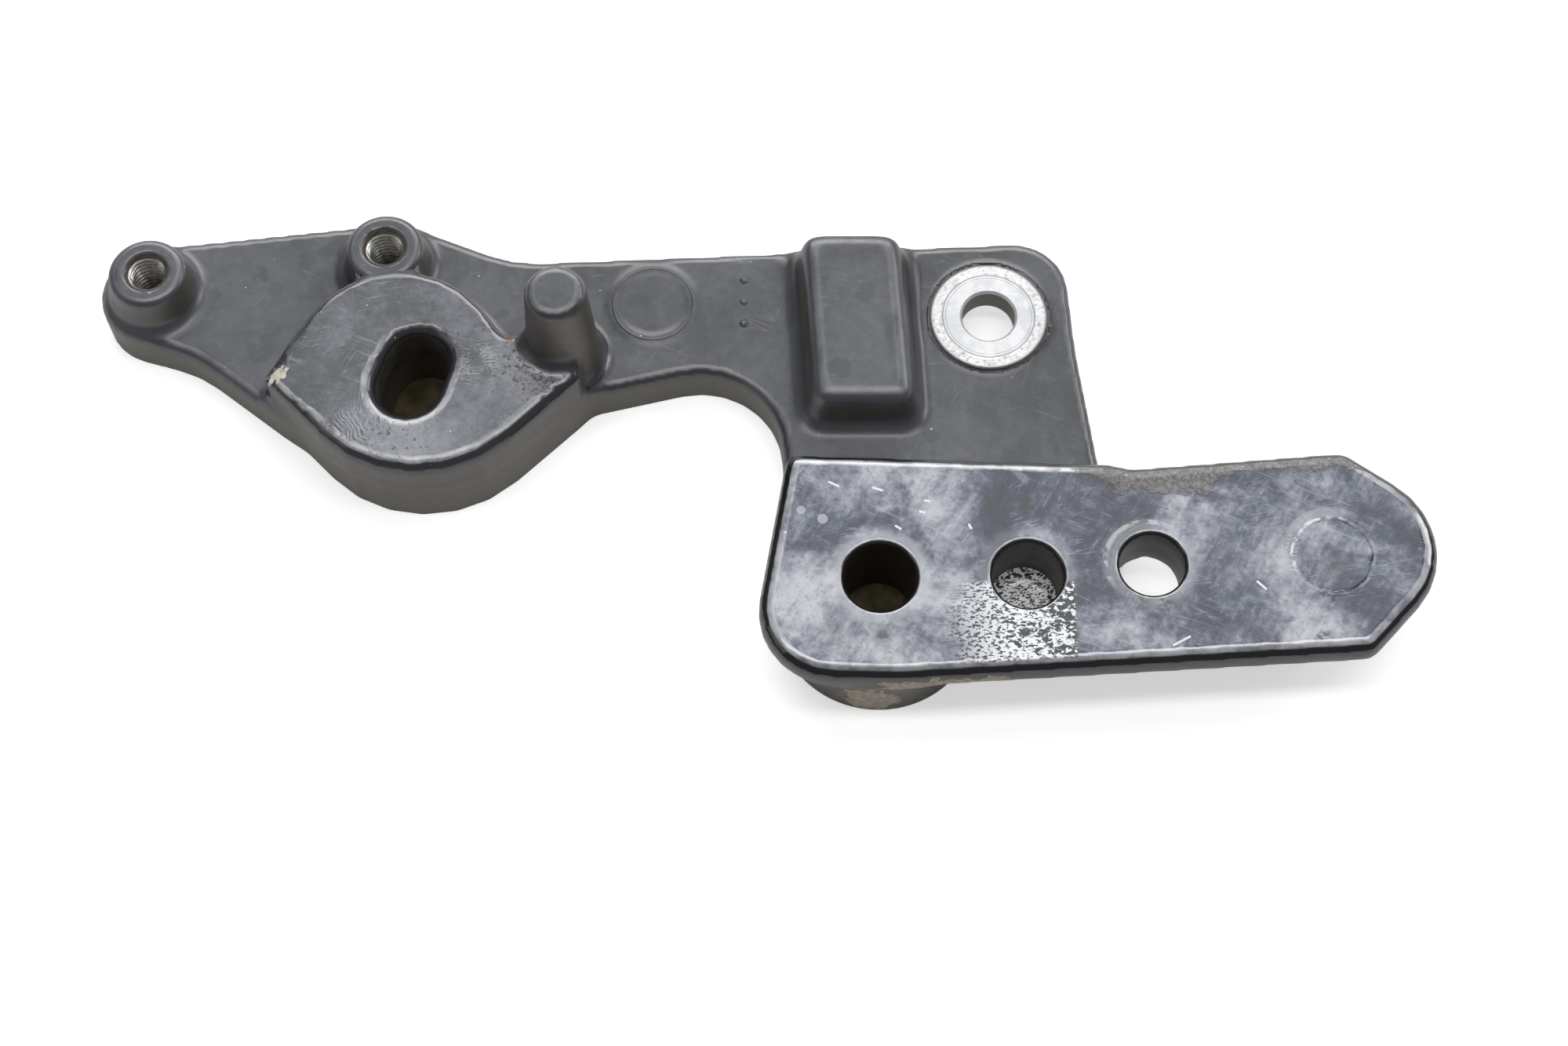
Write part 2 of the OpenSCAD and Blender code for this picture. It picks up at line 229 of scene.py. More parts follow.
def chip(points, place, direction, reach):
    """A knock cuts the casting along an uneven plane through place, and no further than
    reach from it."""
    direction = np.array(direction) / np.linalg.norm(direction)
    offset = points - np.array(place)
    over = offset @ direction + 0.22 * ripple(points, (2.1, 1.3, 1.7), (0.4, 1.9, 2.6))
    near = np.clip(1.4 - np.linalg.norm(offset, axis=1) / reach, 0, 1)
    points -= np.clip(over, 0, None)[:, None] * near[:, None] * direction


def shape_casting(points):
    """Turned and tapped places, knocks and the seats of the separate pieces."""
    settle(points)
    for place in BOSSES:
        turn_boss_top(points, place)
        widen(points, place, BOSS_BORE, -BELOW - 1, BOSS + 1)
    for place in HOLES:
        turn_mouth(points, place)
    distance, _ = from_axis(points, RING)
    under = (distance < RING[2] + 0.6) & (points[:, 2] > PLATE)
    points[under, 2] = PLATE
    widen(points, RING, RING_BORE + 0.6, -BELOW - 1, PLATE + 1)
    for place, direction, reach in KNOCKS:
        chip(points, place, direction, reach)


def cut_back(piece):
    """Cuts the piece off at BACK, and closes the cut with a flat face."""
    shell = bmesh.new()
    shell.from_mesh(piece.data)
    whole = shell.verts[:] + shell.edges[:] + shell.faces[:]
    cut = bmesh.ops.bisect_plane(shell, geom=whole, dist=1e-7, plane_co=(0, 0, BACK),
                                 plane_no=(0, 0, -1), clear_outer=True)
    rim = [part for part in cut["geom_cut"] if isinstance(part, bmesh.types.BMEdge)]
    bmesh.ops.triangle_fill(shell, use_beauty=True, use_dissolve=False, edges=rim)
    bmesh.ops.recalc_face_normals(shell, faces=shell.faces)
    shell.to_mesh(piece.data)
    shell.free()


def applied(piece):
    """Makes the piece's modifiers part of its mesh."""
    shaped = piece.evaluated_get(bpy.context.evaluated_depsgraph_get())
    piece.data = bpy.data.meshes.new_from_object(shaped)
    piece.modifiers.clear()


def thinned(piece, most):
    """Leaves no more than the given number of triangles. Flat faces lose theirs first."""
    reduce = piece.modifiers.new("thin", "DECIMATE")
    reduce.ratio = min(1.0, most / (2 * len(piece.data.polygons)))
    reduce.use_collapse_triangulate = True
    applied(piece)


def new_piece(name, points, faces):
    """A mesh object at the origin, from points in millimetres and a list of faces."""
    mesh = bpy.data.meshes.new(name)
    mesh.from_pydata((points / 1000).tolist(), [], faces)
    mesh.validate()
    piece = bpy.data.objects.new(name, mesh)
    bpy.context.scene.collection.objects.link(piece)
    return piece


def shaded(piece, crease=38):
    """Smooth shading with creases where faces meet at more than the given degrees, and
    normals weighted by face area, so that flat faces stay flat."""
    piece.data.shade_smooth()
    piece.data.set_sharp_from_angle(angle=math.radians(crease))
    weigh = piece.modifiers.new("weigh", "WEIGHTED_NORMAL")
    weigh.mode = "FACE_AREA"
    weigh.keep_sharp = True
    applied(piece)


def turned(name, place, radii, heights, segments=96):
    """A closed ring turned round an upright axis.

    Its profile is the closed list of radii and heights, anticlockwise in a plane with the
    radius across and the height up. The radii may have a row for each of the segments.
    """
    angles = np.arange(segments) * 2 * math.pi / segments
    radii = np.broadcast_to(np.asarray(radii, float), (segments, len(heights)))
    x = place[0] + radii * np.cos(angles)[:, None]
    y = place[1] + radii * np.sin(angles)[:, None]
    z = np.broadcast_to(np.asarray(heights, float), radii.shape)
    points = np.stack([x, y, z], axis=-1).reshape(-1, 3)
    count = radii.shape[1]
    a, b = np.meshgrid(np.arange(segments), np.arange(count), indexing="ij")
    next_a, next_b = (a + 1) % segments, (b + 1) % count
    faces = np.stack([a * count + b, next_a * count + b,
                      next_a * count + next_b, a * count + next_b], axis=-1)
    return new_piece(name, points, faces.reshape(-1, 4).tolist())


def thread(name, place, crest=3.4, root=4.0, pitch=1.25, samples=12, segments=64):
    """Internal thread.

    The radius at an angle and a height is root less a rounded triangle wave of the height
    over the pitch less the angle over a turn, and it opens into a cone at both mouths.
    """
    low, high = BACK + 0.15, BOSS - 0.35
    rows = int((high - low) / pitch * samples)
    heights = np.linspace(low, high, rows)
    angles = np.arange(segments)[:, None] / segments
    phase = (heights[None, :] / pitch - angles) % 1
    wave = np.clip(1.25 - np.abs(phase - 0.5) * 3.2, 0, 1)
    inner = root - (root - crest) * wave
    mouth = np.maximum(crest + heights - (BOSS - 1.3), crest + (BACK + 1.3) - heights)
    inner = np.maximum(inner, np.minimum(mouth, root + 0.3)[None, :])
    outer = np.full((segments, 2), root + 0.5)
    return turned(name, place, np.concatenate([outer, inner[:, ::-1]], axis=1),
                  np.concatenate([[low, high], heights[::-1]]), segments)


def dome(name, places, radius, rise, foot, rings=7, segments=24):
    """Low round pips. The height over the foot falls from rise at the centre to nothing at
    the rim, as the square of the cosine of the way out."""
    way = np.linspace(0, 1, rings + 1)[1:]
    angles = np.arange(segments) * 2 * math.pi / segments
    points, faces = [], []
    for x, y in places:
        start = sum(len(part) for part in points)
        grid = np.stack([
            x + radius * way[:, None] * np.cos(angles),
            y + radius * way[:, None] * np.sin(angles),
            foot + rise * np.cos(way * math.pi / 2)[:, None] ** 2 + 0 * angles], axis=-1)
        below = np.array([[x, y, foot - MARK_FOOT]])
        skirt = grid[-1] - [0, 0, MARK_FOOT]
        points.append(np.concatenate([[[x, y, foot + rise]], grid.reshape(-1, 3), skirt, below]))
        k = np.arange(segments)
        after = (k + 1) % segments
        faces += [(start, start + 1 + a, start + 1 + b) for a, b in zip(k, after)]
        for row in range(rings):
            inner, outer = start + 1 + row * segments, start + 1 + (row + 1) * segments
            faces += [(inner + a, outer + a, outer + b, inner + b) for a, b in zip(k, after)]
        last = start + 1 + rings * segments
        faces += [(last + b, last + a, last + segments) for a, b in zip(k, after)]
    return new_piece(name, np.concatenate(points), faces)


class Nodes:
    """Adds nodes to one tree. Each method returns an output, and takes outputs or numbers."""

    def __init__(self, tree):
        self.tree = tree

    def add(self, kind, inputs=(), out=0, **settings):
        node = self.tree.nodes.new("ShaderNode" + kind)
        for key, value in settings.items():
            setattr(node, key, value)
        for key, value in dict(inputs).items():
            self.feed(node.inputs[key], value)
        return node.outputs[out]

    def feed(self, socket, value):
        if isinstance(value, bpy.types.NodeSocket):
            self.tree.links.new(value, socket)
        else:
            socket.default_value = value

    def math(self, operation, a, b=0.0, clamp=False):
        return self.add("Math", {0: a, 1: b}, operation=operation, use_clamp=clamp)

    def folded(self, operation, values):
        """The operation from the first value on with each of the others in turn."""
        result = values[0]
        for value in values[1:]:
            result = self.math(operation, result, value)
        return result

    def times(self, *masks):
        return self.folded("MULTIPLY", masks)

    def plus(self, *values):
        return self.folded("ADD", values)

    def most(self, *masks):
        return self.folded("MAXIMUM", masks)

    def swing(self, value, size):
        """A noise about 0.5 as an offset about nothing, size for each whole of the noise."""
        return self.times(self.math("SUBTRACT", value, 0.5), size)

    def ramp(self, value, low, high, start=0.0, end=1.0):
        """Smooth step from start to end as value goes from low to high."""
        return self.add("MapRange", {"Value": value, 1: low, 2: high, 3: start, 4: end},
                        interpolation_type="SMOOTHSTEP")

    def within(self, value, low, high, soft):
        """1 between low and high, falling to 0 over soft outside them."""
        return self.times(self.ramp(value, low - soft, low), self.ramp(value, high + soft, high))

    def noise(self, place, scale, detail=3.0, roughness=0.5, warp=0.0):
        return self.add("TexNoise", {"Vector": place, "Scale": scale, "Detail": detail,
                                     "Roughness": roughness, "Distortion": warp})

    def cells(self, place, scale, out):
        return self.add("TexVoronoi", {"Vector": place, "Scale": scale}, out)

    def vector(self, operation, place, other=(0, 0, 0), out=0):
        return self.add("VectorMath", {0: place, 1: other}, out, operation=operation)

    def scaled(self, place, factor):
        return self.add("VectorMath", {0: place, "Scale": factor}, operation="SCALE")

    def distance(self, place, centre):
        """Distance of place from a point, or in the flat from an axis when centre has two
        numbers."""
        if len(centre) == 2:
            place = self.vector("MULTIPLY", place, (1, 1, 0))
            centre = (*centre, 0)
        return self.vector("DISTANCE", place, centre, "Value")

    def stretched(self, place, turn, lengths):
        """Place in units of three lengths, the first of them along a line turned by degrees
        from the X axis."""
        return self.add("Mapping", {"Vector": place, "Rotation": (0, 0, math.radians(turn)),
                                    "Scale": lengths}, vector_type="TEXTURE")

    def mix(self, factor, a, b):
        """Colour between a and b."""
        a, b = ((*c, 1) if isinstance(c, tuple) and len(c) == 3 else c for c in (a, b))
        node = self.tree.nodes.new("ShaderNodeMix")
        node.data_type = "RGBA"
        for index, value in ((0, factor), (6, a), (7, b)):
            self.feed(node.inputs[index], value)
        return node.outputs[2]

    def blend(self, factor, a, b):
        """Number between a and b."""
        node = self.tree.nodes.new("ShaderNodeMix")
        for index, value in ((0, factor), (2, a), (3, b)):
            self.feed(node.inputs[index], value)
        return node.outputs[0]


def new_group(name, numbers, outputs):
    """A node group with a place and named numbers as inputs, and named numbers as outputs."""
    group = bpy.data.node_groups.new(name, "ShaderNodeTree")
    group.interface.new_socket("Place", in_out="INPUT", socket_type="NodeSocketVector")
    for label, value in numbers.items():
        made = group.interface.new_socket(label, in_out="INPUT", socket_type="NodeSocketFloat")
        made.default_value = value
    for label in outputs:
        group.interface.new_socket(label, in_out="OUTPUT", socket_type="NodeSocketFloat")
    entry = group.nodes.new("NodeGroupInput")
    leaving = group.nodes.new("NodeGroupOutput")
    return group, Nodes(group), entry.outputs, leaving.inputs


def make_mottle():
    """Mottling of a worn film, from a warped noise. Size is six of its waves."""
    group, n, given, result = new_group("mottle", {"Size": 30.0}, ["Mask"])
    scale = n.times(n.math("DIVIDE", 1.0, given["Size"]), 6.0)
    noise = n.noise(given["Place"], scale, 5, 0.7, 0.8)
    n.feed(result["Mask"], n.ramp(noise, 0.35, 0.68))
    return group


def make_scratches():
    """Fine scratches: thin lines in three directions, each broken by a slow noise."""
    group, n, given, result = new_group("scratches", {"Amount": 0.5}, ["Mask"])
    lines = []
    for turn, length, across in ((61, 40, 1.5), (-24, 55, 2.3), (12, 30, 1.9)):
        along = n.stretched(given["Place"], turn, (length, across, 10))
        wave = n.noise(along, 1.0, 2, 0.6, 0.25)
        line = n.ramp(n.math("ABSOLUTE", n.math("SUBTRACT", wave, 0.5)), 0.010, 0.003)
        gaps = n.noise(n.stretched(given["Place"], turn, (9, 14, 10)), 1.0, 3)
        start = n.math("SUBTRACT", 0.68, n.times(given["Amount"], 0.25))
        lines.append(n.times(line, n.ramp(gaps, start, n.plus(start, 0.06))))
    n.feed(result["Mask"], n.most(*lines))
    return group


def make_specks():
    """Sparse round specks of dust: one in each cell, of very uneven size."""
    group, n, given, result = new_group("specks", {"Spacing": 3.0, "Size": 0.25}, ["Mask"])
    scale = n.math("DIVIDE", 1.0, given["Spacing"])
    distance = n.cells(given["Place"], scale, "Distance")
    chance = n.add("SeparateColor", {0: n.cells(given["Place"], scale, "Color")})
    size = n.times(n.math("POWER", chance, 5.0), given["Size"])
    inside = n.math("LESS_THAN", distance, size)
    n.feed(result["Mask"], n.times(inside, n.math("GREATER_THAN", chance, 0.35)))
    return group


def make_grain():
    """Height in millimetres of the paint's orange peel over the casting's slow waves."""
    group, n, given, result = new_group("paint_grain", {"Peel": 0.01, "Wave": 0.05}, ["Height"])
    peel = n.noise(given["Place"], 0.9, 4, 0.6)
    wave = n.noise(given["Place"], 0.07, 2, 0.5)
    n.feed(result["Height"], n.plus(n.times(peel, given["Peel"]), n.times(wave, given["Wave"])))
    return group


def make_rims():
    """Masks of rounded outer edges, from how far the normal stands upright. Rim is the whole rounding,
    and the second mask is its upper part, where a pale highlight is painted."""
    group, n, given, result = new_group("rims", {"Upright": 0.0}, ["Rim", "Highlight"])
    up = given["Upright"]
    uneven = n.ramp(n.noise(given["Place"], 0.22, 5, 0.65, 0.4), 0.30, 0.62, 0.35, 1.0)
    n.feed(result["Rim"], n.times(n.ramp(up, 0.25, 0.6), n.ramp(up, 0.985, 0.86)))
    n.feed(result["Highlight"], n.times(n.ramp(up, 0.84, 0.93), n.ramp(up, 0.997, 0.984), uneven))
    return group


MOTTLE, SCRATCHES, SPECKS = make_mottle(), make_scratches(), make_specks()
GRAIN, RIMS = make_grain(), make_rims()


class Finish:
    """A material whose colour, roughness, metal and height are laid on mask by mask."""

    def __init__(self, name, colour, roughness, metal=0.0):
        self.material = bpy.data.materials.new(name)
        self.material.use_nodes = True
        self.n = Nodes(self.material.node_tree)
        self.shader = self.material.node_tree.nodes["Principled BSDF"]
        found = self.n.add("TexCoord", out="Object")
        self.place = self.n.scaled(found, 1000.0)
        self.x, self.y, self.z = (self.n.add("SeparateXYZ", {0: self.place}, k) for k in range(3))
        facing = self.n.add("NewGeometry", out="Normal")
        self.up = self.n.add("SeparateXYZ", {0: facing}, 2)
        self.flat = self.n.ramp(self.up, 0.93, 0.99)
        self.wall = self.n.ramp(self.n.math("ABSOLUTE", self.up), 0.45, 0.2)
        self.colour, self.roughness, self.metal, self.height = (*colour, 1), roughness, metal, 0.0

    def group(self, group, out=0, **numbers):
        node = self.n.tree.nodes.new("ShaderNodeGroup")
        node.node_tree = group
        self.n.feed(node.inputs["Place"], self.place)
        for key, value in numbers.items():
            self.n.feed(node.inputs[key], value)
        return node.outputs[out]

    def patchy(self, low, high, *noise):
        """Smooth step from 0 to 1 as a noise of some scale, detail, roughness and warp goes
        from low to high."""
        return self.n.ramp(self.n.noise(self.place, *noise), low, high)

    def rims(self, out):
        return self.group(RIMS, out, Upright=self.up)

    def rise(self, *masks):
        """Adds the product of masks and numbers to the height."""
        self.height = self.n.plus(self.height, self.n.times(*masks))

    def lay(self, mask, colour=None, roughness=None, metal=None, height=None):
        n = self.n
        if colour is not None:
            self.colour = n.mix(mask, self.colour, colour)
        if roughness is not None:
            self.roughness = n.blend(mask, self.roughness, roughness)
        if metal is not None:
            self.metal = n.blend(mask, self.metal, metal)
        if height is not None:
            self.rise(mask, height)

    def spot(self, place, radius, soft):
        """1 within radius of a place, falling to 0 over soft outside it."""
        return self.n.ramp(self.n.distance(self.place, place), radius + soft, radius)

    def glow(self, place, radius):
        """Soft round spot in the flat: 1 at its centre and 0 at its radius."""
        return self.n.ramp(self.n.distance(self.place, place), radius, 0.0)

    def film(self, haze_and_reflection, spots, noises):
        """Strength of a haze and the lamp's reflection painted with it: the first value, changed in
        soft spots of x, y, radius and change, and swung by each noise times its share."""
        n = self.n
        for x, y, radius, change in spots:
            haze_and_reflection = n.plus(haze_and_reflection, n.times(self.glow((x, y), radius), change))
        for value, share in noises:
            haze_and_reflection = n.plus(haze_and_reflection, n.swing(value, share))
        return haze_and_reflection

    def upper_left(self, place, reach):
        """0 on the lower right of a place, and 1 from reach on its upper left, by how much
        further a point lies up than to the right."""
        n = self.n
        up = n.math("SUBTRACT", self.y, place[1])
        right = n.math("SUBTRACT", self.x, place[0])
        return n.ramp(n.math("SUBTRACT", up, right), 0.0, reach)

    def stroke(self, start, end, width):
        """Straight mark on a flat face. Its mask falls off with the distance from the
        segment: the place less the start, less its own share of the run."""
        n = self.n
        run = (end[0] - start[0], end[1] - start[1], 0)
        offset = n.vector("SUBTRACT", n.vector("MULTIPLY", self.place, (1, 1, 0)), (*start, 0))
        along = n.vector("DOT_PRODUCT", offset, run, "Value")
        share = n.math("DIVIDE", along, run[0] ** 2 + run[1] ** 2, clamp=True)
        nearest = n.scaled(run, share)
        away = n.vector("DISTANCE", offset, nearest, "Value")
        return n.times(n.ramp(away, width, width * 0.4), self.flat)

    def done(self):
        n = self.n
        n.feed(self.shader.inputs["Base Color"], self.colour)
        n.feed(self.shader.inputs["Roughness"], self.roughness)
        n.feed(self.shader.inputs["Metallic"], self.metal)
        self.shader.inputs["Specular IOR Level"].default_value = 1.0
        bump = n.add("Bump", {"Height": self.height, "Distance": 0.001, "Strength": 1.0})
        n.feed(self.shader.inputs["Normal"], bump)
        return self.material


BLACK = (0.009, 0.0095, 0.012)
HAZE = (0.36, 0.375, 0.43)
# Pale grey of paint worn round the holes by washers, also used for painted highlights on rounded rims
RUBBED_AND_HIGHLIGHT = (0.62, 0.63, 0.67)
DUST = (0.62, 0.60, 0.55)
WALL_DIRT = (0.082, 0.073, 0.056)
OLD_BARE = (0.50, 0.42, 0.33)
RUST = (0.16, 0.055, 0.02)

# Where the bar's haze, with the lamp's reflection painted into it, is thicker or thinner: x, y, radius
# and by how much
BAR_HAZE_AND_REFLECTION = (
    (-13, -7, 18, 0.34), (-1, -19, 17, 0.32), (12, -3, 12, 0.24), (14, 9, 11, 0.14),
    (-4, 20, 10, 0.14), (10, 20, 9, 0.10), (-11, 13, 9, -0.10),
    (27, 15, 15, -0.20), (44, 14, 15, -0.18), (72, 5, 14, -0.20), (62, -4, 10, -0.12),
    (48, -14, 13, 0.24), (62, -19, 14, 0.24), (84, -12, 15, 0.34), (96, 0, 10, 0.12),
    (76, 3, 7, 0.16))
# The same on the cam pad, whose lighter lower part is the lamp's reflection painted in
PAD_HAZE_AND_REFLECTION = (
    (-92, 26, 20, 0.30), (-72, 40, 18, 0.18), (-110, 44, 12, -0.08), (-95, 60, 13, -0.06),
    (-84, 57, 8, 0.08), (-104, 33, 8, 0.08))
# Patches of chatter on the cam pad: x, y, radius, direction across it in degrees, spacing
CHATTER = (
    (-79.5, 45.6, 6.5, 84, 0.62), (-105.0, 29.6, 7.0, 32, 0.95), (-98.5, 36.0, 6.5, 10, 0.70))
# Dark blots, pale spots and pits on the bar: x, y and radius
BAR_BLOTS = ((-9.0, -10.4, 2.2), (-4.9, -10.4, 1.8), (0.3, -12.3, 2.6), (84.5, -12.6, 3.4))
BAR_SPOTS = ((-15.2, 14.0, 0.75), (-11.0, 12.1, 0.9))
BAR_PITS = ((85.3, -3.7, 0.45), (86.9, -5.0, 0.35))
# Middle of the patch that is worn bare behind hole 1
BARE_PATCH = (-1.8, -19.0, 5.0)
# Short pale marks on the bar, each from one place to another
BAR_STROKES = (
    ((-1.1, 18.8), (0.6, 18.2)), ((-9.7, 20.0), (-7.9, 19.1)), ((8.0, 13.7), (8.8, 13.5)),
    ((3.2, 10.6), (4.1, 10.0)), ((17.4, 10.9), (17.8, 10.1)), ((-18.3, 17.4), (-17.9, 16.2)),
    ((-18.4, 14.9), (-18.1, 13.9)), ((-18.8, 12.2), (-18.4, 11.0)), ((-18.9, 9.6), (-18.2, 9.3)),
    ((72.6, -1.1), (74.1, -2.6)), ((58.9, -12.5), (55.8, -14.2)), ((9.0, 16.0), (9.8, 15.9)))


def lay_walls(f):
    """Brown road film on every upright wall, thicker towards the back, and painted shade inside the
    bar's holes.
    """
    n = f.n
    film = f.group(MOTTLE, Size=38.0)
    f.lay(n.times(f.wall, n.ramp(film, 0.0, 1.0, 0.6, 1.0)), WALL_DIRT, 0.5)
    f.lay(n.times(f.wall, n.ramp(f.z, 13.0, 2.0, 0.0, 0.35)), (0.15, 0.13, 0.09), 0.6)
    # Painted shade: the walls inside the bar's holes are laid near black
    for x, y, radius in HOLES:
        inside = n.ramp(n.distance(f.place, (x, y)), radius + 0.5, radius + 0.2)
        f.lay(n.times(inside, n.ramp(f.up, 0.9, 0.5), 0.8), (0.014, 0.011, 0.008), 0.4)


def lay_specks(f, spacing, size):
    """Pale dust on what faces up."""
    specks = f.group(SPECKS, Spacing=spacing, Size=size)
    f.lay(f.n.times(specks, f.n.ramp(f.up, 0.2, 0.6), 0.9), DUST, 0.7, height=0.02)


def make_plate_paint():
    """Satin black paint of the plate, hump, bosses and post, with dust and faint blotches."""
    f = Finish("black_paint_plate", BLACK, 0.36)
    n = f.n
    cloud = n.noise(f.place, 0.03, 6, 0.62, 0.5)
    fine = n.noise(f.place, 0.35, 6, 0.7)
    f.lay(n.ramp(cloud, 0.36, 0.64, 0.0, 0.11), HAZE, 0.44)
    f.lay(n.times(f.flat, n.ramp(fine, 0.38, 0.66, 0.0, 0.07)), HAZE, 0.40)
    blotch = n.times(f.patchy(0.60, 0.64, 0.12, 3, 0.5), f.flat)
    f.lay(n.times(blotch, 0.5), BLACK, 0.30)
    # Grease at the foot of the hump's right side, and a dark smear along its top
    smear = n.times(f.stroke((3.2, 56.0), (5.6, 41.0), 2.6),
                    n.ramp(n.noise(n.stretched(f.place, 98, (14, 5, 14)), 1.0, 2), 0.38, 0.56))
    f.lay(n.times(smear, 0.7), BLACK, 0.18)
    lay_walls(f)
    f.lay(n.times(f.rims("Rim"), 0.06), HAZE, 0.24)
    # Painted highlight: a pale band on the upper part of rounded edges, along the plate's rim below its
    # face and on raised parts higher up
    rim_highlight = f.rims("Highlight")
    low = n.times(rim_highlight, n.ramp(f.z, PLATE + 0.05, PLATE - 0.1))
    tops = n.times(rim_highlight, n.ramp(f.z, 14.5, 16.0))
    f.lay(n.times(n.most(low, tops), 0.14), RUBBED_AND_HIGHLIGHT, 0.30)
    f.lay(n.times(f.group(SCRATCHES, Amount=0.4), f.flat, 0.7), (0.11, 0.11, 0.12), 0.5)
    lay_specks(f, 2.8, 0.09)
    f.rise(f.group(GRAIN, Peel=0.016, Wave=0.14))
    return f.done()


def lay_chatter(f):
    """Ripples that a cutter left in three patches of the cam pad: a sine wave across each
    patch, bent by noise."""
    n = f.n
    bent = n.times(n.noise(f.place, 0.25, 3), 5.0)
    for x, y, radius, turn, spacing in CHATTER:
        angle = math.radians(turn)
        across = n.plus(n.times(f.x, math.cos(angle)), n.times(f.y, math.sin(angle)), bent)
        wave = n.math("SINE", n.times(across, 2 * math.pi / spacing))
        broken = f.patchy(0.42, 0.54, 0.5, 3, 0.6)
        patch = n.times(n.ramp(n.distance(f.place, (x, y)), radius, radius * 0.45), broken, f.flat)
        f.lay(n.times(patch, n.ramp(wave, 0.0, 0.8), 0.5), (0.46, 0.47, 0.52), 0.40)
        f.lay(n.times(patch, n.ramp(wave, -0.2, -0.8), 0.5), BLACK)
        f.rise(patch, wave, 0.02)


def make_pad_paint():
    """Glossier black of the cam pad, with a painted reflection and painted highlights: chatter and pits
    round the slot, a chipped corner.
    """
    f = Finish("black_paint_pad", BLACK, 0.24)
    n = f.n
    # Haze with the lamp's reflection painted into it, lighter towards the pad's lower edge
    cloud = n.noise(f.place, 0.07, 7, 0.64, 0.5)
    mottle = n.noise(f.place, 0.55, 6, 0.72)
    haze_and_reflection = f.film(0.22, PAD_HAZE_AND_REFLECTION, ((cloud, 0.7), (mottle, 0.5)))
    haze_and_reflection_tint = n.mix(haze_and_reflection, (0.16, 0.17, 0.22), (0.52, 0.52, 0.55))
    f.lay(n.times(n.ramp(haze_and_reflection, -0.05, 0.9), f.flat), haze_and_reflection_tint, 0.36)
    lay_walls(f)
    f.lay(n.times(f.rims("Rim"), 0.06), HAZE, 0.16)
    # Painted highlight: a pale band on the upper part of the pad's rounded rim, strongest along its
    # lower left
    low_left = n.times(n.ramp(f.y, 52.0, 40.0, 0.12, 1.0), n.ramp(f.x, -64.0, -84.0, 0.5, 1.0))
    high = n.ramp(f.z, 15.0, 17.0)
    f.lay(n.times(f.rims("Highlight"), low_left, high, 0.6), RUBBED_AND_HIGHLIGHT, 0.22)
    lay_chatter(f)
    # Pits, thickest towards the post and below the slot
    near_post = n.ramp(n.distance(f.place, (-66.0, 47.0)), 15.0, 3.0)
    below_slot = n.ramp(n.distance(f.place, (-96.0, 31.0)), 11.0, 3.0)
    amount = n.most(near_post, n.times(below_slot, 0.55))
    pit_noise = n.noise(f.place, 0.95, 4, 0.65)
    pits = n.times(n.ramp(n.plus(pit_noise, n.times(amount, 0.13)), 0.66, 0.71), f.flat)
    grey = f.patchy(0.45, 0.62, 1.4, 4, 0.7)
    f.lay(n.times(amount, f.flat, grey, 0.5), (0.44, 0.44, 0.47), 0.45)
    f.lay(n.times(pits, 0.9), (0.010, 0.009, 0.009), 0.6, height=-0.08)
    flecks = n.times(f.patchy(0.66, 0.70, 1.9, 3, 0.6), near_post, f.flat)
    f.lay(n.times(flecks, 0.8), (0.75, 0.74, 0.72), 0.4)
    smudge = n.times(f.stroke((-81.2, 47.6), (-77.6, 43.6), 1.7), n.ramp(mottle, 0.34, 0.50))
    f.lay(n.times(smudge, 0.7), (0.045, 0.045, 0.05), 0.35)
    f.lay(n.times(f.group(SCRATCHES, Amount=0.7), f.flat, 0.5), (0.26, 0.26, 0.30), 0.42, height=-0.004)
    ragged = n.swing(n.noise(f.place, 0.6, 4, 0.6), 6.0)
    off_tip = n.plus(n.distance(f.place, (-119.2, 43.2, 20.4)), ragged)
    f.lay(n.ramp(off_tip, 1.9, 1.6), (0.60, 0.55, 0.46), 0.55, height=-0.08)
    rusty = f.patchy(0.50, 0.58, 1.2, 3)
    f.lay(n.times(f.spot((-72.2, 51.9, PAD), 2.0, 1.0), rusty), RUST, 0.8)
    lay_specks(f, 3.0, 0.08)
    f.rise(f.group(GRAIN, Peel=0.012, Wave=0.07))
    # Painted highlight on the upper part of the rounded rim of the slot's mouth
    mouth = n.ramp(n.distance(f.place, SLOT), 12.0, 9.0)
    f.lay(n.times(mouth, f.rims("Highlight"), 0.25), RUBBED_AND_HIGHLIGHT, 0.22)
    return f.done()


def lay_bar_haze(f):
    """Blue-grey haze of road salt on the bar, with the lamp's reflection on its face painted into it:
    cloudy, streaked by rubbing, with dark flecks and blots where it is heavy."""
    n = f.n
    cloud = n.noise(f.place, 0.06, 8, 0.66, 0.6)
    mottle = n.noise(f.place, 0.42, 7, 0.74, 0.3)
    streaks = n.noise(n.stretched(f.place, 58, (26, 1.2, 26)), 1.0, 4, 0.6)
    haze_and_reflection = f.film(0.43, BAR_HAZE_AND_REFLECTION, ((cloud, 1.6), (mottle, 0.9), (streaks, 0.32)))
    haze_and_reflection_tint = n.mix(n.ramp(haze_and_reflection, 0.15, 0.85), (0.085, 0.125, 0.27), (0.60, 0.61, 0.65))
    f.lay(n.times(n.ramp(haze_and_reflection, -0.05, 1.0, 0.0, 0.92), f.flat), haze_and_reflection_tint, 0.26)
    flecks = f.patchy(0.57, 0.64, 1.1, 5, 0.7)
    f.lay(n.times(flecks, n.ramp(haze_and_reflection, 0.5, 0.8), f.flat, 0.6), (0.06, 0.06, 0.07), 0.4)
    for x, y, radius in BAR_BLOTS:
        blot = n.times(f.glow((x, y), radius), n.ramp(mottle, 0.42, 0.54), f.flat)
        f.lay(n.times(blot, 1.3), (0.07, 0.075, 0.09), 0.4)


